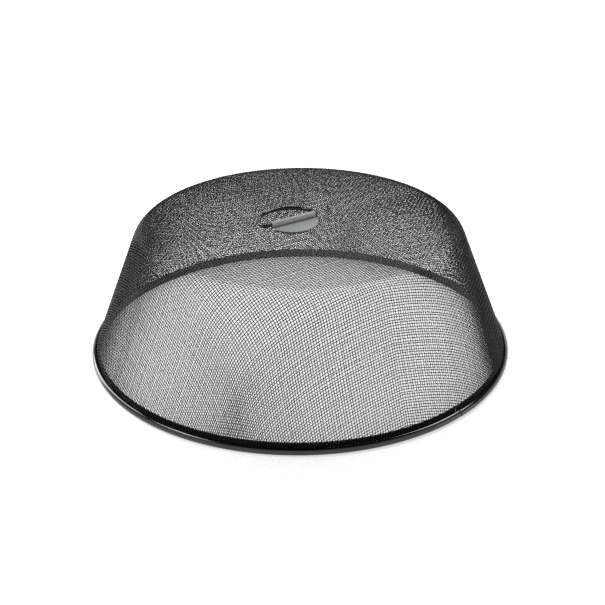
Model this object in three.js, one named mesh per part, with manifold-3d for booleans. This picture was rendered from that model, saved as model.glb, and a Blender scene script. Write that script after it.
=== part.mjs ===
// A round food cover of woven wire mesh, pressed into a flat-topped dome.
// The mesh stands in a folded steel rim with a wire hoop inside it. On the crown a half-moon plate
// is welded through the mesh to a backing plate, and its rolled edge holds a D-shaped lifting ring.
// Sizes are in millimetres and angles in degrees. +Z is up, the front is towards -Y, and the origin
// is the middle of the rim's underside.
import * as THREE from "three";
import { mergeVertices } from "three/addons/utils/BufferGeometryUtils.js";
import Module from "manifold-3d";

const wasm = await Module();
wasm.setup();

const degrees = Math.PI / 180;

// Rim: a strip folded into an open channel, with a tall leg inside the mesh and a half-round outer side
const rimDiameter = 300;
const rimWidth = 5.6;
const innerLegHeight = 7.3;
const outerLegHeight = 5;
const stripThickness = 0.5;
const footBendRadius = 1.2;
const lipWidth = 2.7;
const seamWidth = 0.5;
const seamAngle = -45.4;

// Hoop: a round wire closed inside the channel
const hoopWire = 2;
const hoopClearance = 0.15;

// Mesh: a plain weave two wires thick, with a domed crown, a rounded shoulder and a leaning wall
const meshWire = 0.4;
const wallAngle = 20.9;
const shoulderRadius = 15;
const crownHeight = 98;
const crownRadius = 1600;
const slotClearance = 0.2;
const meshFootClearance = 1;

// Grid: rows of openings between bars, from the crown down to the rim
const gridPitch = 32;
const barWidth = 6;
const padMargin = 2;

// Handle: where its hinge crosses the crown, and how it is turned from the X axis
const handleX = -4.2;
const handleY = -9.2;
const handleTurn = 32;
const seatClearance = 0.3;

// Handle plate: half a disc whose straight edge is rolled into a knuckle
const plateRadius = 17.6;
const plateThickness = 0.6;
const knuckleClearance = 0.25;
const knuckleAngle = 300;

// Lifting ring: one bent wire whose ends meet inside the knuckle
const ringWire = 2.7;
const ringArcRadius = 21.5;
const ringArcOffset = 1.6;
const ringCornerRadius = 2.3;
const ringSlide = -1.5;
const ringEndGap = 0.6;

// Backing plate: half a disc under the mesh, with pressed studs that reach up through it
const backingInset = 3;
const backingThickness = 0.6;
const studDiameter = 2.4;
const studInset = 4;
const studClearance = 0.3;
const studTurns = [-135, -90, -45];

// How finely the round shapes are divided
const aroundSegments = 80;
const hoopSides = 8;
const ringSides = 10;
const ringSteps = 72;
const crownRows = 3;
const shoulderRows = 5;
const bendRows = 4;
const knuckleRows = 16;
const plateSegments = 32;
const studSegments = 12;

const overrun = 1;

const rimRadius = rimDiameter / 2;
const outerBendRadius = (outerLegHeight - stripThickness) / 2;
const meshThickness = 2 * meshWire;
const lean = wallAngle * degrees;
const wallOut = new THREE.Vector2(Math.cos(lean), Math.sin(lean));

// The mesh's outer face meets the underside of the lip one clearance inside it.
const lipEndRadius = rimRadius - lipWidth;
const lipUnderside = outerLegHeight - stripThickness;
const wallAtLip = new THREE.Vector2(lipEndRadius - slotClearance, lipUnderside);

// The shoulder arc touches the leaning wall and lies inside the crown arc, so its centre is on a line
// one shoulder radius inside the wall, at the two arcs' difference in radius from the crown's centre.
const crownCentre = new THREE.Vector2(0, crownHeight - crownRadius);
const wallUp = new THREE.Vector2(-wallOut.y, wallOut.x);
const lineStart = wallAtLip.clone().addScaledVector(wallOut, -shoulderRadius);
const fromCrown = lineStart.clone().sub(crownCentre);
const along = fromCrown.dot(wallUp);
const reach = crownRadius - shoulderRadius;
const shift = Math.sqrt(along ** 2 - fromCrown.lengthSq() + reach ** 2) - along;
const shoulderCentre = lineStart.clone().addScaledVector(wallUp, shift);
const joinAngle = shoulderCentre.clone().sub(crownCentre).angle();

// A solid of a closed geometry, with the vertices that its faces share merged.
function solidOf(geometry) {
  const bare = new THREE.BufferGeometry();
  bare.setAttribute("position", geometry.getAttribute("position"));
  if (geometry.index) bare.setIndex(geometry.index);
  const merged = mergeVertices(bare);
  return new wasm.Manifold(
    new wasm.Mesh({
      numProp: 3,
      vertProperties: new Float32Array(merged.attributes.position.array),
      triVerts: new Uint32Array(merged.index.array),
    }),
  );
}

function geometryOf(solid) {
  const mesh = solid.getMesh();
  const geometry = new THREE.BufferGeometry();
  geometry.setAttribute("position", new THREE.BufferAttribute(mesh.vertProperties, 3));
  geometry.setIndex(new THREE.BufferAttribute(mesh.triVerts, 1));
  geometry.computeVertexNormals();
  return geometry;
}

// Points along an arc about a centre, from one angle in radians to another.
function arc(centre, radius, from, to, rows) {
  return Array.from({ length: rows + 1 }, (_, i) => {
    const angle = from + ((to - from) * i) / rows;
    return new THREE.Vector2(
      centre.x + radius * Math.cos(angle),
      centre.y + radius * Math.sin(angle),
    );
  });
}

// Stands a flat outline up, so that its width runs along Y, its height along Z and its depth along X.
const widthAlongY = new THREE.Matrix4().makeBasis(
  new THREE.Vector3(0, 1, 0),
  new THREE.Vector3(0, 0, 1),
  new THREE.Vector3(1, 0, 0),
);

// A closed outline of radius and height, turned about the Z axis.
function turned(outline) {
  const closed = [...outline, outline[0]];
  return new THREE.LatheGeometry(closed, aroundSegments).rotateX(Math.PI / 2);
}

// One face of the mesh from the top of the crown to its foot, a depth below the outer face.
function meshFace(depth) {
  const quarter = Math.PI / 2;
  const crown = arc(crownCentre, crownRadius - depth, quarter, joinAngle, crownRows);
  const shoulder = arc(shoulderCentre, shoulderRadius - depth, joinAngle, lean, shoulderRows);
  crown[0].x = 0;
  const footDrop = lipUnderside - stripThickness - meshFootClearance;
  const foot = wallAtLip
    .clone()
    .addScaledVector(wallUp, -footDrop / wallUp.y)
    .addScaledVector(wallOut, -depth);
  return [...crown, ...shoulder.slice(1), foot];
}

// The place and the outward angle of the mesh's outer face, at a distance down it from the crown's top.
function onMesh(distance) {
  const crownAngle = Math.PI / 2 - distance / crownRadius;
  if (crownAngle > joinAngle) {
    return { angle: crownAngle, place: arc(crownCentre, crownRadius, crownAngle, 0, 1)[0] };
  }
  const pastCrown = distance - crownRadius * (Math.PI / 2 - joinAngle);
  const angle = Math.max(joinAngle - pastCrown / shoulderRadius, lean);
  const pastShoulder = Math.max(pastCrown - shoulderRadius * (joinAngle - lean), 0);
  const place = arc(shoulderCentre, shoulderRadius, angle, 0, 1)[0];
  return { angle, place: place.addScaledVector(wallUp, -pastShoulder) };
}

// How far the crown has dropped below its top at a distance from the middle.
const crownDrop = (distance) => crownRadius - Math.sqrt(crownRadius ** 2 - distance ** 2);

// Studs stand on an arc inside the backing plate's round edge.
const backingRadius = plateRadius - backingInset;
const studPlaces = studTurns.map((turn) => {
  const distance = backingRadius - studInset;
  const angle = turn * degrees;
  return new THREE.Vector2(distance * Math.cos(angle), distance * Math.sin(angle));
});

// Heights of the handle's pieces
const handleReach = Math.hypot(handleX, handleY) + plateRadius;
const seatHeight = crownHeight + seatClearance;
const meshUnderside = crownHeight - meshThickness - crownDrop(handleReach);
const backingTop = meshUnderside - seatClearance;
const knuckleBore = ringWire / 2 + knuckleClearance;
const knuckleRadius = knuckleBore + plateThickness;
const hingeHeight = seatHeight + knuckleRadius;

function upright(radius, bottom, top, place) {
  const height = top - bottom;
  const post = new THREE.CylinderGeometry(radius, radius, height, studSegments);
  post.rotateX(Math.PI / 2);
  return post.translate(place.x, place.y, bottom + height / 2);
}

// One opening's cut: a block that stands square to the mesh. It narrows towards the crown's top as
// the circles do, so that the bars beside it keep their width.
function openingCut(distance, rowPitch, count, turn) {
  const half = (rowPitch - barWidth) / 2;
  const halfWidth = (end) => (Math.PI * onMesh(end).place.x) / count - barWidth / 2;
  const upper = halfWidth(distance - half);
  const lower = halfWidth(distance + half);
  const face = new THREE.Shape([
    new THREE.Vector2(-lower, -half),
    new THREE.Vector2(lower, -half),
    new THREE.Vector2(upper, half),
    new THREE.Vector2(-upper, half),
  ]);
  const depth = 2 * shoulderRadius;
  const block = new THREE.ExtrudeGeometry(face, { depth, bevelEnabled: false });
  block.translate(0, 0, -shoulderRadius).applyMatrix4(widthAlongY);
  const row = onMesh(distance);
  return block.rotateY(-row.angle).translate(row.place.x, 0, row.place.y).rotateZ(turn);
}

// The grid's cuts: even rows down the mesh, as many round each as fit the pitch, and the same number
// in all rows of the wall. They leave a round pad closed, which carries the handle plate.
function gridCuts() {
  const wallStart = crownRadius * (Math.PI / 2 - joinAngle) + shoulderRadius * (joinAngle - lean);
  const wallLength = (onMesh(wallStart).place.y - innerLegHeight) / wallUp.y;
  const rows = Math.round((wallStart + wallLength) / gridPitch);
  const rowPitch = (wallStart + wallLength) / rows;
  const wallRadius = onMesh(wallStart + wallLength / 2).place.x;
  const cuts = [];
  for (let rowNumber = 0; rowNumber < rows; rowNumber++) {
    const distance = (rowNumber + 0.5) * rowPitch;
    const radius = distance > wallStart ? wallRadius : onMesh(distance).place.x;
    const count = Math.round((2 * Math.PI * radius) / gridPitch);
    for (let step = 0; step < count; step++) {
      const turn = (step * 2 * Math.PI) / count;
      cuts.push(solidOf(openingCut(distance, rowPitch, count, turn)));
    }
  }
  const pad = new THREE.CylinderGeometry(
    plateRadius + padMargin,
    plateRadius + padMargin,
    2 * crownHeight,
    plateSegments,
  );
  pad.rotateX(Math.PI / 2).translate(handleX, handleY, crownHeight);
  return wasm.Manifold.union(cuts).subtract(solidOf(pad));
}

// The shell's outline runs down its inner face and back up its outer face, from axis to axis.
function meshDome() {
  const outline = [...meshFace(meshThickness), ...meshFace(0).reverse()];
  const shell = new THREE.LatheGeometry(outline, aroundSegments).rotateX(Math.PI / 2);
  let solid = solidOf(shell);
  for (const place of studPlaces) {
    const hole = upright(
      studDiameter / 2 + studClearance,
      backingTop - overrun,
      seatHeight + overrun,
      place,
    );
    hole.rotateZ(handleTurn * degrees).translate(handleX, handleY, 0);
    solid = solid.subtract(solidOf(hole));
  }
  return geometryOf(solid.subtract(gridCuts()));
}

// The strip's two faces follow one path, from the top of the inner leg round to the end of the lip.
function stripFace(offset) {
  const innerLeg = rimRadius - rimWidth + stripThickness / 2;
  const outerLeg = rimRadius - stripThickness / 2;
  const bottom = stripThickness / 2;
  const top = outerLegHeight - stripThickness / 2;
  const innerFoot = new THREE.Vector2(innerLeg + footBendRadius, bottom + footBendRadius);
  const outerBend = new THREE.Vector2(outerLeg - outerBendRadius, bottom + outerBendRadius);
  const quarter = Math.PI / 2;
  return [
    new THREE.Vector2(innerLeg - offset, innerLegHeight),
    ...arc(innerFoot, footBendRadius + offset, -Math.PI, -quarter, bendRows),
    ...arc(outerBend, outerBendRadius + offset, -quarter, quarter, 3 * bendRows),
    new THREE.Vector2(lipEndRadius, top + offset),
  ];
}

function rimChannel() {
  const half = stripThickness / 2;
  const ring = solidOf(turned([...stripFace(half), ...stripFace(-half).reverse()]));
  const cut = new THREE.BoxGeometry(
    rimWidth + 2 * overrun,
    seamWidth,
    innerLegHeight + 2 * overrun,
  );
  cut.translate(rimRadius - rimWidth / 2, 0, innerLegHeight / 2);
  cut.rotateZ(seamAngle * degrees);
  return geometryOf(ring.subtract(solidOf(cut)));
}

function rimHoop() {
  const radius = hoopWire / 2;
  const centre = new THREE.Vector2(
    rimRadius - rimWidth + stripThickness + hoopClearance + radius,
    stripThickness + hoopClearance + radius,
  );
  const outline = arc(centre, radius, 0, 2 * Math.PI, hoopSides).slice(0, hoopSides);
  return turned(outline);
}

// The plate's section runs flat along its underside and wraps round the hinge axis.
function handlePlate() {
  const start = -90 * degrees;
  const end = start + knuckleAngle * degrees;
  const axis = new THREE.Vector2(0, knuckleRadius);
  const outer = arc(axis, knuckleRadius, start, end, knuckleRows);
  const inner = arc(axis, knuckleBore, end, start, knuckleRows);
  const tail = -knuckleRadius;
  const section = new THREE.Shape([
    new THREE.Vector2(tail, 0),
    ...outer,
    ...inner,
    new THREE.Vector2(tail, plateThickness),
  ]);
  const knuckle = new THREE.ExtrudeGeometry(section, {
    depth: 2 * plateRadius,
    bevelEnabled: false,
  });
  knuckle.translate(0, 0, -plateRadius).applyMatrix4(widthAlongY);
  const halfDisc = new THREE.Shape(
    arc(new THREE.Vector2(), plateRadius, -Math.PI, 0, plateSegments),
  );
  const plate = new THREE.ExtrudeGeometry(halfDisc, {
    depth: plateThickness,
    bevelEnabled: false,
  });
  return geometryOf(solidOf(knuckle).add(solidOf(plate)));
}

// The ring's centre line in its own plane: from the gap along the hinge, round a corner, over the
// wide arc, round the other corner and back to the gap.
class RingLine extends THREE.Curve {
  constructor() {
    super();
    const corner = new THREE.Vector2(
      Math.sqrt(
        (ringArcRadius - ringCornerRadius) ** 2 - (ringCornerRadius - ringArcOffset) ** 2,
      ),
      ringCornerRadius,
    );
    const turn = Math.atan2(corner.y - ringArcOffset, corner.x);
    this.path = new THREE.Path()
      .moveTo(ringEndGap / 2, 0)
      .lineTo(corner.x, 0)
      .absarc(corner.x, corner.y, ringCornerRadius, -Math.PI / 2, turn, false)
      .absarc(0, ringArcOffset, ringArcRadius, turn, Math.PI - turn, false)
      .absarc(-corner.x, corner.y, ringCornerRadius, Math.PI - turn, 1.5 * Math.PI, false)
      .lineTo(-ringEndGap / 2, 0);
  }
  getPoint(share) {
    const point = this.path.getPointAt(share);
    return new THREE.Vector3(point.x, point.y, 0);
  }
}

function handleRing() {
  const section = new THREE.Shape(
    arc(new THREE.Vector2(), ringWire / 2, 0, 2 * Math.PI, ringSides).slice(0, ringSides),
  );
  const tube = new THREE.ExtrudeGeometry(section, {
    steps: ringSteps,
    bevelEnabled: false,
    extrudePath: new RingLine(),
  });
  return geometryOf(solidOf(tube));
}

function backingPlate() {
  const halfDisc = new THREE.Shape(
    arc(new THREE.Vector2(), backingRadius, -Math.PI, 0, plateSegments),
  );
  const plate = new THREE.ExtrudeGeometry(halfDisc, {
    depth: backingThickness,
    bevelEnabled: false,
  });
  plate.translate(0, 0, backingTop - backingThickness);
  let solid = solidOf(plate);
  for (const place of studPlaces) {
    const root = backingTop - backingThickness / 2;
    solid = solid.add(solidOf(upright(studDiameter / 2, root, seatHeight, place)));
  }
  return geometryOf(solid);
}

const blackWire = new THREE.MeshStandardMaterial({
  color: 0x1b1b1c,
  roughness: 0.42,
  metalness: 0,
});
const blackEnamel = new THREE.MeshStandardMaterial({
  color: 0x0c0c0d,
  roughness: 0.14,
  metalness: 0,
});
const satinEnamel = new THREE.MeshStandardMaterial({
  color: 0x7f8081,
  roughness: 0.4,
  metalness: 0,
});
const zincWire = new THREE.MeshStandardMaterial({
  color: 0x9a9c9e,
  roughness: 0.4,
  metalness: 1,
});

function piece(name, geometry, material) {
  const mesh = new THREE.Mesh(geometry, material);
  mesh.name = name;
  return mesh;
}

const cover = new THREE.Group();
cover.add(
  piece("mesh_dome", meshDome(), blackWire),
  piece("rim_channel", rimChannel(), blackEnamel),
  piece("rim_hoop_wire", rimHoop(), zincWire),
);

const handle = new THREE.Group();
handle.position.set(handleX, handleY, 0);
handle.rotation.z = handleTurn * degrees;
cover.add(handle);

const plate = piece("handle_plate", handlePlate(), satinEnamel);
plate.position.z = seatHeight;
handle.add(plate, piece("handle_backing_plate", backingPlate(), satinEnamel.clone()));

// The ring lies back on the mesh: its far side has dropped until one clearance is left.
const ringReach = ringArcOffset + ringArcRadius;
const farSide = new THREE.Vector2(0, ringReach)
  .rotateAround(new THREE.Vector2(), handleTurn * degrees)
  .add(new THREE.Vector2(handleX, handleY));
const restHeight = crownHeight - crownDrop(farSide.length()) + seatClearance + ringWire / 2;
const restDrop = Math.asin((hingeHeight - restHeight) / ringReach);
const ring = piece("handle_ring", handleRing(), blackEnamel.clone());
ring.position.set(ringSlide, 0, hingeHeight);
ring.rotation.x = -restDrop;
handle.add(ring);

export default cover;
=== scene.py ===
import math

import bpy
import numpy as np
from mathutils import Matrix, Vector


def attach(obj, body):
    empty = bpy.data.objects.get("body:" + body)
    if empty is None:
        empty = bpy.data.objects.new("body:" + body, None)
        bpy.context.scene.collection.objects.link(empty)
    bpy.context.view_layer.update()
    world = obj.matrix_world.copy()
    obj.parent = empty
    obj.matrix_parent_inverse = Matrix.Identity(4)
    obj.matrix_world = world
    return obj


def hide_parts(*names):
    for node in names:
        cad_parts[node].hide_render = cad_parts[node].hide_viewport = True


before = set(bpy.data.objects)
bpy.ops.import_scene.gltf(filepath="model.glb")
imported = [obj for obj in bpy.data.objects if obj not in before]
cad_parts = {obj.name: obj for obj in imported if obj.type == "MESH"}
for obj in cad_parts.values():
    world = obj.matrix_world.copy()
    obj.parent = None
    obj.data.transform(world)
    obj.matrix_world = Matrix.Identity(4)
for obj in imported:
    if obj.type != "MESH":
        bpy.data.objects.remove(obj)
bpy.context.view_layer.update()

# Sizes in millimetres and angles in radians. Each is the solid's own value, but for the seam's gap,
# which the strip's sprung ends draw narrower.
RIM_RADIUS = 150.0
RIM_WIDTH = 5.6
INNER_LEG_HEIGHT = 7.3
OUTER_LEG_HEIGHT = 5.0
STRIP = 0.5
FOOT_BEND = 1.2
OUTER_BEND = 2.25
LIP_WIDTH = 2.7
SEAM_TURN = math.radians(-45.4)
SEAM_GAP = 0.4
HOOP_WIRE = 2.0
HOOP_CLEARANCE = 0.15
SLOT_CLEARANCE = 0.2
MESH_FOOT = 1.7
SHELL_DEPTH = 0.4
LEAN = math.radians(20.9)
SHOULDER_RADIUS = 15.0
CROWN_HEIGHT = 98.0
CROWN_RADIUS = 1600.0
HANDLE_PLACE = (-4.2, -9.2)
HANDLE_TURN = math.radians(32)
SEAT = 98.3
PLATE_RADIUS = 17.6
PLATE = 0.6
KNUCKLE_BORE = 1.6
KNUCKLE_WRAP = math.radians(300)
RING_WIRE = 2.7
RING_ARC = 21.5
RING_ARC_OFFSET = 1.6
RING_CORNER = 2.3
RING_SLIDE = -1.5
RING_END_GAP = 0.6
RING_ABOVE_CROWN = 0.3

# The scene's own: how far from the seam the strip's ends spring in, how far in they are at its
# start and end, how far its cut edges are rounded, and how much is taken off the plate's radius.
SEAM_REACH = 6.0
SEAM_SPRING = (0.04, 0.22)
SEAM_EDGE = 0.12
PLATE_EDGE = 0.25

# The weave: wire thickness, spacing along the wires, the share by which the spacing grows where the
# mesh is sheared most, and how far the net is turned from the X axis. The thickness is that of the
# real wire with its enamel, as coarse as it needs to be to show.
WEAVE_WIRE = 0.47
WEAVE_PITCH = 1.8
WEAVE_STRETCH = 0.07
WEAVE_TURN = math.radians(28)
# Wires in a quarter of the net, and the wire at which the spacing has grown in full
WEAVE_REACH = 124
WEAVE_FULL_STRETCH = 60
# How far a wire and a crossing stray from their places, and at most, as shares of the spacing
WIRE_STRAY, CROSSING_STRAY, MOST_STRAY = 0.05, 0.025, 0.15
WEAVE_SEED = 7
# A square wire looks as wide as a round one where its corners lie this far out, as a share
SQUARE_REACH = 1.11

# How finely the pieces are drawn: steps round the whole rim, round the strip's cut edges and along
# its section, round the hoop's wire and the ring's, over the plate, and along the ring
RIM_STEPS = 360
END_STEPS = 6
LEG_POINTS, FOOT_STEPS, FLAT_STEPS, OUTER_STEPS = 6, 6, 4, 20
HOOP_SIDES = 16
RING_SIDES = 20
PLATE_FLAT_ROWS, PLATE_ROLL_ROWS, PLATE_COLUMNS = 32, 60, 49
STRAIGHT_STEPS, CORNER_STEPS, ARC_STEPS = 24, 16, 96


# Geometry


def put(name, points, faces, body, slot, finish, replaces):
    """A smooth mesh piece from an array of points in millimetres and a list of arrays of faces."""
    mesh = bpy.data.meshes.new(name)
    counts = np.concatenate([np.full(len(f), f.shape[1]) for f in faces])
    corners = np.concatenate([f.ravel() for f in faces])
    starts = np.concatenate([[0], np.cumsum(counts)[:-1]])
    mesh.vertices.add(len(points))
    mesh.vertices.foreach_set("co", (points * 0.001).astype(np.float32).ravel())
    mesh.loops.add(len(corners))
    mesh.loops.foreach_set("vertex_index", corners.astype(np.int32))
    mesh.polygons.add(len(counts))
    mesh.polygons.foreach_set("loop_start", starts.astype(np.int32))
    mesh.polygons.foreach_set("loop_total", counts.astype(np.int32))
    mesh.polygons.foreach_set("use_smooth", np.ones(len(counts), bool))
    mesh.update(calc_edges=True)
    mesh.validate()
    piece = bpy.data.objects.new(name, mesh)
    bpy.context.scene.collection.objects.link(piece)
    mesh.materials.append(finish)
    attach(piece, body)
    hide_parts(*replaces)
    return piece


def grid(rows, columns, wrap_rows=False, wrap_columns=False):
    """Quads over a grid of points stored row by row: each joins (i, j), (i, j+1), (i+1, j+1) and
    (i+1, j), and a wrapped direction joins its last line to its first."""
    i, j = np.meshgrid(
        np.arange(rows if wrap_rows else rows - 1),
        np.arange(columns if wrap_columns else columns - 1),
        indexing="ij",
    )
    i, j = i.ravel(), j.ravel()
    below, beside = (i + 1) % rows, (j + 1) % columns
    quads = [i * columns + j, i * columns + beside, below * columns + beside, below * columns + j]
    return np.stack(quads, 1)


def arc(centre, radius, start, end, steps):
    """Points on a circular arc: centre + radius * (cos a, sin a), with a even from start to end."""
    a = np.linspace(start, end, steps + 1)
    return np.stack([centre[0] + radius * np.cos(a), centre[1] + radius * np.sin(a)], 1)


def strip_outline(path, half):
    """The closed outline of a bent strip: its path moved by half the thickness along the normal to
    one side, a half circle round the end, the other side back, and a half circle round the
    start."""
    along = np.gradient(path, axis=0)
    along /= np.linalg.norm(along, axis=1)[:, None]
    out = np.stack([along[:, 1], -along[:, 0]], 1)
    a = np.linspace(0, np.pi, END_STEPS + 2)[1:-1, None]
    far = path[-1] + half * (out[-1] * np.cos(a) + along[-1] * np.sin(a))
    near = path[0] - half * (out[0] * np.cos(a) + along[0] * np.sin(a))
    return np.concatenate([path + half * out, far, (path - half * out)[::-1], near])


def turned(outline, angles, step_in=None):
    """A profile of radius and height carried round the Z axis: (r cos a, r sin a, z) for each angle
    a. step_in is a change of radius for each angle."""
    a = angles[:, None]
    r = outline[None, :, 0] + (0 * a if step_in is None else step_in[:, None])
    z = np.broadcast_to(outline[None, :, 1], r.shape)
    return np.stack([r * np.cos(a), r * np.sin(a), z], -1).reshape(-1, 3)


def tube(line, radius, sides):
    """A round wire along a line in the XY plane: each ring is the line's point plus
    radius * (cos t * side + sin t * across), with t even round the ring. The ends are domed: the
    last rings shrink by cos b while they move on by sin b times the radius."""
    across = np.array([0.0, 0.0, 1.0])
    along = np.gradient(line, axis=0)
    along /= np.linalg.norm(along, axis=1)[:, None]
    side = np.cross(across, along)
    b = np.radians([70, 45, 20])
    scale = np.concatenate([np.cos(b), np.ones(len(line)), np.cos(b[::-1])])
    move = np.concatenate([-np.sin(b), np.zeros(len(line)), np.sin(b[::-1])]) * radius
    pick = np.concatenate([[0] * len(b), np.arange(len(line)), [len(line) - 1] * len(b)])
    t = np.arange(sides) * 2 * np.pi / sides
    ring = np.cos(t)[None, :, None] * side[pick][:, None] + np.sin(t)[None, :, None] * across
    centre = line[pick] + move[:, None] * along[pick]
    points = centre[:, None] + radius * scale[:, None, None] * ring
    rows = len(pick)
    faces = grid(rows, sides, wrap_columns=True)
    start = np.arange(sides)[None, :]
    end = (rows - 1) * sides + np.arange(sides)[None, ::-1]
    return points.reshape(-1, 3), [faces[:, ::-1], start, end]


def placed(points):
    """Points of the handle, turned about Z and moved to where its hinge crosses the crown."""
    c, s = math.cos(HANDLE_TURN), math.sin(HANDLE_TURN)
    x, y = points[:, 0], points[:, 1]
    return np.stack(
        [c * x - s * y + HANDLE_PLACE[0], s * x + c * y + HANDLE_PLACE[1], points[:, 2]], 1
    )


# The mesh's middle surface: a leaning wall, a shoulder arc tangent to it, and a crown arc
wall_out = np.array([math.cos(LEAN), math.sin(LEAN)])
wall_up = np.array([-math.sin(LEAN), math.cos(LEAN)])
crown_centre = np.array([0.0, CROWN_HEIGHT - CROWN_RADIUS])
wall_at_lip = np.array([RIM_RADIUS - LIP_WIDTH - SLOT_CLEARANCE, OUTER_LEG_HEIGHT - STRIP])
line_start = wall_at_lip - SHOULDER_RADIUS * wall_out
from_crown = line_start - crown_centre
along_wall = from_crown @ wall_up
reach = CROWN_RADIUS - SHOULDER_RADIUS
shift = math.sqrt(along_wall**2 - from_crown @ from_crown + reach**2) - along_wall
shoulder_centre = line_start + shift * wall_up
to_shoulder = shoulder_centre - crown_centre
JOIN = math.atan2(to_shoulder[1], to_shoulder[0])
CROWN_MID = CROWN_RADIUS - SHELL_DEPTH
SHOULDER_MID = SHOULDER_RADIUS - SHELL_DEPTH


def off_surface(points):
    """Each point's distance from the mesh's middle surface, and the surface's normal there. The
    point is measured from the crown's centre above the joint of the arcs, from the shoulder's
    centre beside it, and from the wall's straight line below it."""
    r, z = np.hypot(points[..., 0], points[..., 1]), points[..., 2]
    up = np.arctan2(z - crown_centre[1], r)
    round_angle = np.arctan2(z - shoulder_centre[1], r - shoulder_centre[0])
    crown, wall = up > JOIN, round_angle < LEAN
    angle = np.where(crown, up, np.where(wall, LEAN, round_angle))
    gap = np.hypot(r - shoulder_centre[0], z - shoulder_centre[1]) - SHOULDER_MID
    on_wall = (r - shoulder_centre[0]) * wall_out[0] + (z - shoulder_centre[1]) * wall_out[1]
    gap = np.where(wall, on_wall - SHOULDER_MID, gap)
    gap = np.where(crown, np.hypot(r, z - crown_centre[1]) - CROWN_MID, gap)
    r = np.maximum(r, 1e-9)
    c = np.cos(angle)
    return gap, np.stack([c * points[..., 0] / r, c * points[..., 1] / r, np.sin(angle)], -1)


def meridian(distance):
    """Radius and height at a distance along the middle surface from the top of the crown: angle
    pi/2 - d/R on the crown, then the shoulder's arc, then straight down the wall."""
    crown = CROWN_MID * (np.pi / 2 - JOIN)
    shoulder = crown + SHOULDER_MID * (JOIN - LEAN)
    a = np.pi / 2 - distance / CROWN_MID
    b = JOIN - (distance - crown) / SHOULDER_MID
    foot = shoulder_centre + SHOULDER_MID * wall_out
    r, z = CROWN_MID * np.cos(a), crown_centre[1] + CROWN_MID * np.sin(a)
    r = np.where(distance > crown, shoulder_centre[0] + SHOULDER_MID * np.cos(b), r)
    z = np.where(distance > crown, shoulder_centre[1] + SHOULDER_MID * np.sin(b), z)
    r = np.where(distance > shoulder, foot[0] - (distance - shoulder) * wall_up[0], r)
    z = np.where(distance > shoulder, foot[1] - (distance - shoulder) * wall_up[1], z)
    return r, z


def drawn_net():
    """Where the wires of a square weave cross once it is pressed over the dome. Pressing turns the
    wires at their crossings and pulls them a little straighter where it turns them most, which is
    far from both straight wires: there the pitch is longer by up to WEAVE_STRETCH of itself. Each
    crossing lies one pitch from the one before it on both wires, and on the surface. The two wires
    through the top of the crown run straight down the wall. Each other crossing solves
    |c - a| = pitch, |c - b| = pitch and distance(c) = 0 from its neighbours a and b by Newton's
    steps, one diagonal of the net at a time. A crossing that these don't settle is left out."""
    count, newton_steps, least_slope, settled = WEAVE_REACH, 8, 1e-3, 1e-4
    net = np.full((count, count, 3), np.nan)
    r, z = meridian(np.arange(count) * WEAVE_PITCH)
    net[:, 0] = np.stack([r, 0 * r, z], -1)
    net[0, :] = np.stack([0 * r, r, z], -1)
    for diagonal in range(2, 2 * count - 1):
        i = np.arange(max(1, diagonal - count + 1), min(diagonal, count))
        j = diagonal - i
        grown = np.minimum(1, np.minimum(i, j) / WEAVE_FULL_STRETCH)
        pitch = WEAVE_PITCH * (1 + WEAVE_STRETCH * grown)
        a, b = net[i, j - 1], net[i - 1, j]
        c = a + b - net[i - 1, j - 1]
        for _ in range(newton_steps):
            gap, normal = off_surface(c)
            from_a, from_b = ((c - a) ** 2).sum(-1), ((c - b) ** 2).sum(-1)
            miss = np.stack([from_a - pitch**2, from_b - pitch**2, gap], -1)
            slopes = np.stack([2 * (c - a), 2 * (c - b), normal], -2)
            sound = np.abs(np.linalg.det(slopes)) > least_slope
            slopes[~sound] = np.eye(3)
            step = np.linalg.solve(slopes, miss[..., None])[..., 0]
            c = np.where(sound[:, None], c - step, np.nan)
        c[~(np.abs(miss).max(-1) < settled)] = np.nan
        net[i, j] = c
    return net


def whole_net():
    """The net's quarter mirrored over both straight wires, so that net[j, i] is the crossing of
    wire i of one direction and wire j of the other, with the middle wires in the middle."""
    quarter = drawn_net()
    half = np.concatenate([quarter[:0:-1] * (-1, 1, 1), quarter])
    return np.concatenate([half[:, :0:-1] * (1, -1, 1), half], 1)


def uneven(net):
    """The net as a loom leaves it: each wire is shifted across itself by a random share of the
    pitch of about one twentieth, and each crossing by about half as much more. A shift s of wire i
    moves its crossings by s * (the crossing on wire i + 1 minus the one on wire i - 1) / 2."""
    chance = np.random.default_rng(WEAVE_SEED)
    moved = net.copy()
    for axis, line in ((0, (-1, 1)), (1, (1, -1))):
        shift = chance.normal(0, WIRE_STRAY, len(net)).reshape(line)
        shift = shift + chance.normal(0, CROSSING_STRAY, net.shape[:2])
        shift = np.clip(shift, -MOST_STRAY, MOST_STRAY)
        moved += shift[..., None] * np.gradient(net, axis=axis)
    return moved


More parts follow.
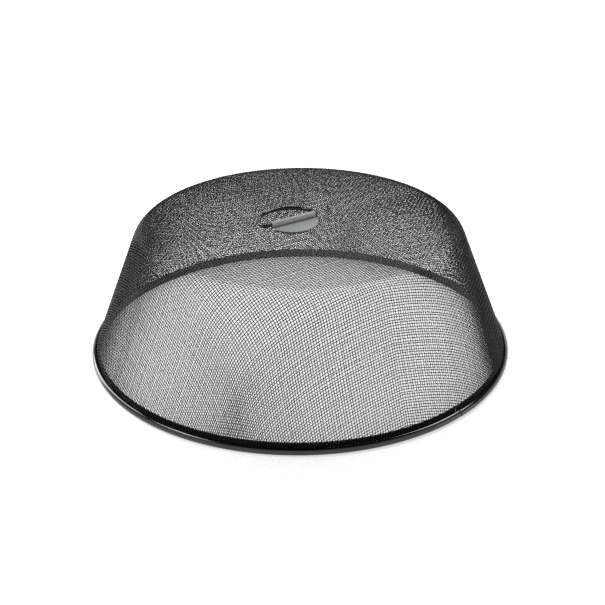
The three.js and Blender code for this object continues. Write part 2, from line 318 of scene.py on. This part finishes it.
def wires(net, lift):
    """The wires that run along the first index of net, one for each second index. A wire passes
    its crossings lifted along the surface's normal by half its thickness, over and under in turn,
    and ends in the rim where its height falls to the mesh's foot. It has four sides, whose corners
    lie at r = half the thickness times SQUARE_REACH above, beside and below its middle line."""
    least_fall, longest_end = 0.05, 1.5
    _, normal = off_surface(net)
    path = net + lift[..., None] * normal * WEAVE_WIRE / 2
    here = np.isfinite(path[..., 2]) & (path[..., 2] > MESH_FOOT)
    for ahead in (1, -1):
        inner = np.roll(path, ahead, 0)
        last = np.roll(here, ahead, 0) & ~here
        before = np.roll(path, 2 * ahead, 0)
        step = inner - before
        fall = (inner[..., 2] - MESH_FOOT) / np.maximum(-step[..., 2], least_fall)
        end = inner + np.minimum(fall, longest_end)[..., None] * step
        path = np.where(last[..., None], end, path)
        normal = np.where(last[..., None], np.roll(normal, ahead, 0), normal)
        here = here | last
    ahead, behind = np.roll(path, -1, 0), np.roll(path, 1, 0)
    on, back = np.roll(here, -1, 0) & here, np.roll(here, 1, 0) & here
    along = np.where(on[..., None], ahead, path) - np.where(back[..., None], behind, path)
    along /= np.maximum(np.linalg.norm(along, axis=-1), 1e-9)[..., None]
    side = np.cross(normal, along)
    side /= np.maximum(np.linalg.norm(side, axis=-1), 1e-9)[..., None]
    top = np.cross(along, side)
    r = WEAVE_WIRE / 2 * SQUARE_REACH
    ring = [path + r * top, path + r * side, path - r * top, path - r * side]
    points = np.stack(ring, 2)[here].reshape(-1, 3)
    number = np.full(here.shape, -1)
    number[here] = np.arange(here.sum()) * 4
    first, second = number[on], np.roll(number, -1, 0)[on]
    k, m = np.arange(4), (np.arange(4) + 1) % 4
    quads = np.stack(
        [first[:, None] + k, second[:, None] + k, second[:, None] + m, first[:, None] + m], -1
    )
    starts, ends = number[here & ~back], number[here & ~on]
    caps = np.concatenate([starts[:, None] + k, ends[:, None] + k[::-1]])
    return points, [quads.reshape(-1, 4), caps]


def rim_path():
    """The strip's middle line in radius and height: down the inner leg, round its foot, along the
    flat underside, and up and over the outer side in half a circle that ends in the lip."""
    inner = RIM_RADIUS - RIM_WIDTH + STRIP / 2
    middle = RIM_RADIUS - STRIP / 2 - OUTER_BEND
    low, above_bend = STRIP / 2, 0.3
    leg = np.linspace(INNER_LEG_HEIGHT - STRIP / 2, low + FOOT_BEND + above_bend, LEG_POINTS)
    flat = np.linspace(inner + FOOT_BEND, middle, FLAT_STEPS + 1)[1:-1]
    foot = (inner + FOOT_BEND, low + FOOT_BEND)
    return np.concatenate(
        [
            np.stack([np.full_like(leg, inner), leg], 1),
            arc(foot, FOOT_BEND, -np.pi, -np.pi / 2, FOOT_STEPS),
            np.stack([flat, np.full_like(flat, low)], 1),
            arc((middle, low + OUTER_BEND), OUTER_BEND, -np.pi / 2, np.pi / 2, OUTER_STEPS),
        ]
    )


def rim():
    """The folded strip carried once round the Z axis, from one end of its butt seam to the other.
    Close to the seam each end springs in by SEAM_SPRING * exp(-(distance / SEAM_REACH)^2), and its
    cut edge is rounded by drawing the last outline in by SEAM_EDGE."""
    outline = strip_outline(rim_path(), STRIP / 2)
    half_gap = SEAM_GAP / 2 / RIM_RADIUS
    near_seam = np.array([0, 0.1, 0.3, 0.8, 2, 4]) / RIM_RADIUS
    angles = SEAM_TURN + np.concatenate(
        [
            half_gap + near_seam,
            np.linspace(0, 2 * np.pi, RIM_STEPS + 1)[3:-3],
            2 * np.pi - half_gap - near_seam[::-1],
        ]
    )
    from_end = (2 * np.pi + SEAM_TURN - angles) * RIM_RADIUS
    from_start = (angles - SEAM_TURN) * RIM_RADIUS
    at_start, at_end = SEAM_SPRING
    spring = -at_end * np.exp(-((from_end / SEAM_REACH) ** 2))
    spring = spring - at_start * np.exp(-((from_start / SEAM_REACH) ** 2))
    points = turned(outline, angles, spring).reshape(len(angles), -1, 3)
    middle = turned(strip_outline(rim_path(), STRIP / 2 - SEAM_EDGE), angles, spring)
    middle = middle.reshape(points.shape)
    points[[0, -1]] = middle[[0, -1]]
    columns = len(outline)
    faces = grid(len(angles), columns, wrap_columns=True)
    span = len(rim_path())
    across = end_faces(span, columns)
    last = (len(angles) - 1) * columns
    return points.reshape(-1, 3), [faces, across[:, ::-1], last + across]


def end_faces(span, columns):
    """Faces that close a strip's cut end: quads between the two sides, and a fan over each half
    circle made as quads between its mirrored points."""
    k = np.arange(span - 1)
    caps = (columns - 2 * span) // 2
    other = 2 * span + caps - 1 - k
    body = np.stack([k, k + 1, other - 1, other], 1)
    m = np.arange(caps // 2)
    a, b = span - 1 + m, span + caps - m
    far = np.stack([a, a + 1, b - 1, b], 1)
    c, d = 2 * span + caps - 1 + m, (columns - m) % columns
    near = np.stack([c, c + 1, (columns - m - 1) % columns, d], 1)
    return np.concatenate([body, far, near])


def hoop():
    """A closed round wire: a circle of the wire's radius carried once round the Z axis."""
    r = HOOP_WIRE / 2
    centre = (
        RIM_RADIUS - RIM_WIDTH + STRIP + HOOP_CLEARANCE + r,
        STRIP + HOOP_CLEARANCE + r,
    )
    outline = arc(centre, r, 0, 2 * np.pi, HOOP_SIDES)[:-1]
    angles = np.linspace(0, 2 * np.pi, RIM_STEPS + 1)[:-1]
    faces = grid(RIM_STEPS, HOOP_SIDES, wrap_rows=True, wrap_columns=True)
    return turned(outline, angles), [faces]


def rolled_plate():
    """The half-moon's middle surface. Its section runs flat from the round edge's far point to the
    hinge and then wraps up round the hinge axis: y = -s on the flat, and y = R sin a,
    z = axis - R cos a on the roll. Each section point spans the plate's width there, which is
    sqrt(radius^2 - s^2) each way on the flat and the whole radius on the roll. The radius here is
    the solid's less PLATE_EDGE."""
    mid = KNUCKLE_BORE + PLATE / 2
    turn = np.linspace(0, np.pi / 2, PLATE_FLAT_ROWS + 1)[1:]
    flat = PLATE_RADIUS - PLATE_EDGE
    y = -flat * np.cos(turn)
    width = flat * np.sin(turn)
    a = np.linspace(0, KNUCKLE_WRAP, PLATE_ROLL_ROWS + 1)[1:]
    section_y = np.concatenate([y, mid * np.sin(a)])
    section_z = np.concatenate([0 * y, mid * (1 - np.cos(a))]) + SEAT + PLATE / 2
    width = np.concatenate([width, np.full(PLATE_ROLL_ROWS, flat)])
    across = np.sin(np.linspace(-np.pi / 2, np.pi / 2, PLATE_COLUMNS))
    x = width[:, None] * across[None]
    grid_y = np.broadcast_to(section_y[:, None], x.shape)
    grid_z = np.broadcast_to(section_z[:, None], x.shape)
    points = np.stack([x, grid_y, grid_z], -1).reshape(-1, 3)
    tip = np.array([[0, -flat, SEAT + PLATE / 2]])
    k = np.arange(PLATE_COLUMNS - 1)
    fan = np.stack([np.full_like(k, len(points)), k + 1, k], 1)
    faces = grid(len(section_y), PLATE_COLUMNS)
    return placed(np.concatenate([points, tip])), [faces, fan]


def ring_line():
    """The ring's centre line in its own plane: along the hinge, round a corner, over the wide arc,
    round the other corner and back, in steps of about half a millimetre."""
    corner_x = math.sqrt((RING_ARC - RING_CORNER) ** 2 - (RING_CORNER - RING_ARC_OFFSET) ** 2)
    turn = math.atan2(RING_CORNER - RING_ARC_OFFSET, corner_x)
    start = np.linspace(RING_END_GAP / 2, corner_x, STRAIGHT_STEPS)[:-1]
    right = arc((corner_x, RING_CORNER), RING_CORNER, -np.pi / 2, turn, CORNER_STEPS)
    wide = arc((0, RING_ARC_OFFSET), RING_ARC, turn, np.pi - turn, ARC_STEPS)[1:-1]
    left = arc((-corner_x, RING_CORNER), RING_CORNER, np.pi - turn, 1.5 * np.pi, CORNER_STEPS)
    end = np.stack([-start[::-1], 0 * start], 1)
    line = np.concatenate([np.stack([start, 0 * start], 1), right, wide, left, end])
    return np.pad(line, ((0, 0), (0, 1)))


def lifting_ring():
    """The ring's wire, tilted about the hinge until its far side lies on the mesh."""
    points, faces = tube(ring_line(), RING_WIRE / 2, RING_SIDES)
    hinge = SEAT + KNUCKLE_BORE + PLATE
    reach_out = RING_ARC + RING_ARC_OFFSET
    c, s = math.cos(HANDLE_TURN), math.sin(HANDLE_TURN)
    far = math.hypot(HANDLE_PLACE[0] - s * reach_out, HANDLE_PLACE[1] + c * reach_out)
    drop = CROWN_RADIUS - math.sqrt(CROWN_RADIUS**2 - far**2)
    rest = CROWN_HEIGHT - drop + RING_ABOVE_CROWN + RING_WIRE / 2
    tilt = -math.asin((hinge - rest) / reach_out)
    x = points[:, 0] + RING_SLIDE
    y = points[:, 1] * math.cos(tilt) - points[:, 2] * math.sin(tilt)
    z = points[:, 1] * math.sin(tilt) + points[:, 2] * math.cos(tilt) + hinge
    return placed(np.stack([x, y, z], 1)), faces


# Materials


def linear(hex_colour):
    """An sRGB hex colour as linear red, green, blue and alpha."""
    srgb = np.array([int(hex_colour[i : i + 2], 16) for i in (1, 3, 5)]) / 255
    low, high = srgb / 12.92, ((srgb + 0.055) / 1.055) ** 2.4
    return (*np.where(srgb <= 0.04045, low, high), 1.0)


def node(tree, kind, links=(), **settings):
    """Adds a node. A setting whose name is one of its inputs fills that input and any other is an
    attribute. Links are pairs of an input's name or number and the socket that feeds it."""
    made = tree.nodes.new(kind)
    for name, value in settings.items():
        if name in made.inputs:
            made.inputs[name].default_value = value
        else:
            setattr(made, name, value)
    for name, socket in links:
        tree.links.new(socket, made.inputs[name])
    return made


def material(name):
    """An empty node material, with its shader and output, and the object's own coordinates."""
    made = bpy.data.materials.new(name)
    made.use_nodes = True
    tree = made.node_tree
    tree.nodes.clear()
    shader = node(tree, "ShaderNodeBsdfPrincipled")
    node(tree, "ShaderNodeOutputMaterial", [("Surface", shader.outputs[0])])
    where = node(tree, "ShaderNodeTexCoord").outputs["Object"]
    return made, tree, shader, where


# Patterns to the metre: enamel's gloss changes over about 20 mm and its orange peel is about 1.5 mm
# across, and the streaks of drawn wire are about 1 mm long
GLOSS_SCALE, PEEL_SCALE, STREAK_SCALE = 50.0, 660.0, 900.0
PEEL_HEIGHT = 0.00005


def enamel(name, colour, gloss, peel, shine=0.5):
    """Baked enamel: a thin coat that flows before it hardens. It leaves a faint orange peel and a
    slow change of gloss."""
    made, tree, shader, where = material(name)
    shader.inputs["Base Color"].default_value = linear(colour)
    shader.inputs["IOR"].default_value = 1.5
    shader.inputs["Specular IOR Level"].default_value = shine
    slow = node(tree, "ShaderNodeTexNoise", [("Vector", where)], Scale=GLOSS_SCALE, Detail=2.0)
    low, high = gloss
    rough = node(
        tree,
        "ShaderNodeMapRange",
        [("Value", slow.outputs["Fac"])],
        **{"From Min": 0.3, "From Max": 0.7, "To Min": low, "To Max": high},
    )
    tree.links.new(rough.outputs[0], shader.inputs["Roughness"])
    fine = node(tree, "ShaderNodeTexNoise", [("Vector", where)], Scale=PEEL_SCALE, Detail=1.0)
    bump = node(
        tree,
        "ShaderNodeBump",
        [("Height", fine.outputs["Fac"])],
        Strength=peel,
        Distance=PEEL_HEIGHT,
    )
    tree.links.new(bump.outputs[0], shader.inputs["Normal"])
    return made


# Dipped enamel on thin steel wire: deep black, with a low sheen where it has run smooth.
dipped_wire = enamel("dipped_black_enamel_on_wire", "#050505", (0.14, 0.22), 0.1, 0.22)
# Gloss baked enamel on folded steel strip: deep black with sharp reflections of the lamps.
gloss_strip = enamel("gloss_black_enamel_on_strip", "#070708", (0.07, 0.13), 0.12, 0.65)
# Satin enamel on pressed sheet: a mid grey that spreads the lamps' light, with a low sheen.
pressed_sheet = enamel("satin_grey_enamel_on_pressed_sheet", "#8c8d8e", (0.38, 0.48), 0.15)
# The strip's gloss black enamel on bent round wire, polished by fingers.
bent_wire = enamel("gloss_black_enamel_on_bent_wire", "#060607", (0.08, 0.15), 0.1, 0.38)


def zinc():
    """Bright zinc plating on drawn steel wire: a pale metal with fine streaks, which show as a
    roughness that changes over about a millimetre."""
    made, tree, shader, where = material("bright_zinc_on_drawn_wire")
    shader.inputs["Metallic"].default_value = 1.0
    shader.inputs["Base Color"].default_value = linear("#9a9c9e")
    streak = node(tree, "ShaderNodeTexNoise", [("Vector", where)], Scale=STREAK_SCALE, Detail=3.0)
    rough = node(
        tree,
        "ShaderNodeMapRange",
        [("Value", streak.outputs["Fac"])],
        **{"To Min": 0.28, "To Max": 0.5},
    )
    tree.links.new(rough.outputs[0], shader.inputs["Roughness"])
    return made


# Pieces

# The straight wires run WEAVE_TURN from the X and Y axes
net = whole_net()
turn = np.array(
    [
        [math.cos(WEAVE_TURN), -math.sin(WEAVE_TURN), 0],
        [math.sin(WEAVE_TURN), math.cos(WEAVE_TURN), 0],
        [0, 0, 1],
    ]
)
net = uneven(net @ turn.T)
size = len(net)
i, j = np.meshgrid(np.arange(size), np.arange(size), indexing="ij")
over = np.where((i + j) % 2 == 0, 1.0, -1.0)
middle = size // 2
for name, part, lift in (
    ("mesh_warp_left", net[:, :middle], over[:, :middle]),
    ("mesh_warp_right", net[:, middle:], over[:, middle:]),
    ("mesh_weft_front", np.swapaxes(net, 0, 1)[:, :middle], -over[:, :middle]),
    ("mesh_weft_back", np.swapaxes(net, 0, 1)[:, middle:], -over[:, middle:]),
):
    put(name, *wires(part, lift), "cover", "mesh_wire", dipped_wire, ["mesh_dome"])

put("rim_folded_strip", *rim(), "cover", "rim_enamel", gloss_strip, ["rim_channel"])
put("rim_hoop", *hoop(), "cover", "hoop_zinc", zinc(), ["rim_hoop_wire"])

plate = put(
    "handle_rolled_plate", *rolled_plate(), "cover", "plate_enamel", pressed_sheet, ["handle_plate"]
)
# The sheet's thickness, half to each side, and its cut edges rounded by 0.12 mm
wall = plate.modifiers.new("sheet", "SOLIDIFY")
wall.thickness, wall.offset, wall.use_even_offset = PLATE * 0.001, 0.0, True
edge = plate.modifiers.new("edge", "BEVEL")
edge.width, edge.segments, edge.limit_method, edge.angle_limit = 0.00012, 2, "ANGLE", 1.0

put("handle_lifting_ring", *lifting_ring(), "ring", "ring_enamel", bent_wire, ["handle_ring"])

# The backing plate keeps its solid's own mesh
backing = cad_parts["handle_backing_plate"]
backing.data.materials.clear()
backing.data.materials.append(pressed_sheet)


# Floor, light and camera

# In metres and radians, and the floor's own glow as a share of white
FLOOR_RADIUS = 1.15
FLOOR_STEPS = 96
FLOOR_LIFT = 0.48
AIM_HEIGHT = 0.05
CAMERA_DISTANCE = 0.898
CAMERA_ELEVATION = math.radians(26.063)
CAMERA_ROLL = math.radians(-0.546)


def floor():
    """A round pale sheet under the cover. It keeps the shadow, and it is lifted as the camera and
    reflections see it, so that away from the shadow it is as white as the backdrop. It ends where
    the lamps' light on it falls away."""
    mesh = bpy.data.meshes.new("floor")
    edge = arc((0, 0), FLOOR_RADIUS, 0, 2 * np.pi, FLOOR_STEPS)[:-1]
    mesh.from_pydata(np.pad(edge, ((0, 0), (0, 1))).tolist(), [], [range(FLOOR_STEPS)])
    made, tree, shader, _ = material("matt_white_paper")
    shader.inputs["Base Color"].default_value = linear("#ececec")
    shader.inputs["Roughness"].default_value = 0.5
    ray = node(tree, "ShaderNodeLightPath").outputs
    seen = ray["Is Camera Ray"]
    for other in ("Is Glossy Ray", "Is Transmission Ray"):
        either = node(tree, "ShaderNodeMath", [(0, seen), (1, ray[other])], operation="MAXIMUM")
        seen = either.outputs[0]
    lift = node(tree, "ShaderNodeMath", [(0, seen)], operation="MULTIPLY")
    lift.inputs[1].default_value = FLOOR_LIFT
    shader.inputs["Emission Color"].default_value = (1, 1, 1, 1)
    tree.links.new(lift.outputs[0], shader.inputs["Emission Strength"])
    sheet = bpy.data.objects.new("floor", mesh)
    bpy.context.scene.collection.objects.link(sheet)
    mesh.materials.append(made)


floor()

# The room: pale in front up to about 35 degrees above the floor and dark overhead. Behind the
# cover it is pale only as high as a low backdrop. Straight to the camera it is white, and what the
# black enamel reflects stays the room, with its dark overhead
world = bpy.data.worlds.new("studio")
bpy.context.scene.world = world
world.use_nodes = True
tree = world.node_tree
tree.nodes.clear()
direction = node(tree, "ShaderNodeTexCoord").outputs["Generated"]
split = node(tree, "ShaderNodeSeparateXYZ", [("Vector", direction)]).outputs


def heights(*levels):
    """Grey levels by the sine of the height above the floor, as pairs of sine and level."""
    ramp = node(tree, "ShaderNodeValToRGB", [("Fac", split["Z"])])
    stops = ramp.color_ramp.elements
    for _ in range(len(levels) - 2):
        stops.new(0.5)
    for stop, (place, level) in zip(stops, levels):
        stop.position, stop.color = place, (level, level, level, 1)
    return ramp.outputs[0]


in_front = heights((0.4, 1.0), (0.57, 0.85), (0.71, 0.5), (0.82, 0.22), (0.91, 0.03))
behind = heights((0.2, 1.0), (0.33, 0.6), (0.45, 0.05), (0.9, 0.02))
side = node(
    tree,
    "ShaderNodeMapRange",
    [("Value", split["Y"])],
    **{"From Min": -0.1, "From Max": 0.3},
)
# The colour mix has its factor at input 0, its colours at 6 and 7, and its result at output 2
sources = [(0, side.outputs[0]), (6, in_front), (7, behind)]
blend = node(tree, "ShaderNodeMix", sources, data_type="RGBA")
room = node(tree, "ShaderNodeBackground", [("Color", blend.outputs[2])]).outputs[0]
white = node(tree, "ShaderNodeBackground", Color=(1, 1, 1, 1)).outputs[0]
seen = node(tree, "ShaderNodeLightPath").outputs["Is Camera Ray"]
mix = node(tree, "ShaderNodeMixShader", [("Fac", seen), (1, room), (2, white)])
node(tree, "ShaderNodeOutputWorld", [("Surface", mix.outputs[0])])


def softbox(name, azimuth, elevation, distance, width, height, glow):
    """A rectangular lamp that faces the cover, of a given brightness: its power is pi times its
    area times the brightness. Azimuth 0 is the camera's side, and it grows to the camera's right.
    Angles are in degrees, lengths in metres, and a brightness of 1 is white."""
    lamp = bpy.data.lights.new(name, "AREA")
    lamp.shape, lamp.size, lamp.size_y = "RECTANGLE", width, height
    lamp.energy = math.pi * width * height * glow
    a, e = math.radians(azimuth), math.radians(elevation)
    back = Vector((math.sin(a) * math.cos(e), -math.cos(a) * math.cos(e), math.sin(e)))
    held = bpy.data.objects.new(name, lamp)
    held.location = back * distance
    held.rotation_euler = back.to_track_quat("Z", "Y").to_euler()
    bpy.context.scene.collection.objects.link(held)


# Each lamp's azimuth, elevation, distance, width, height and brightness
softbox("left_strip", -128, 27, 1.3, 0.45, 0.95, 6.5)
softbox("left_softbox", -88, 54, 1.3, 0.55, 0.3, 9.1)
softbox("right_softbox", 146, 53, 1.3, 0.8, 0.38, 8.5)
softbox("low_back_softbox", 155, 18, 1.5, 0.5, 0.3, 1.3)
softbox("low_right_strip", 80, 6, 1.3, 0.6, 0.2, 2.0)

camera_data = bpy.data.cameras.new("camera")
camera = bpy.data.objects.new("camera", camera_data)
bpy.context.scene.collection.objects.link(camera)
bpy.context.scene.camera = camera
camera_data.sensor_width = 36.0
camera_data.lens = 74.93
camera_data.shift_x = 0.0049
camera_data.shift_y = -0.0382
camera_data.clip_start, camera_data.clip_end = 0.05, 20.0
back = Vector((0, -math.cos(CAMERA_ELEVATION), math.sin(CAMERA_ELEVATION)))
camera.location = Vector((0, 0, AIM_HEIGHT)) + CAMERA_DISTANCE * back
upright = back.to_track_quat("Z", "Y").to_matrix()
camera.rotation_euler = (upright @ Matrix.Rotation(CAMERA_ROLL, 3, "Z")).to_euler()

bpy.context.scene.view_settings.view_transform = "Standard"
# The weave is as fine as the pixels, so the denoiser takes it for noise and smears it
bpy.context.scene.cycles.use_denoising = False
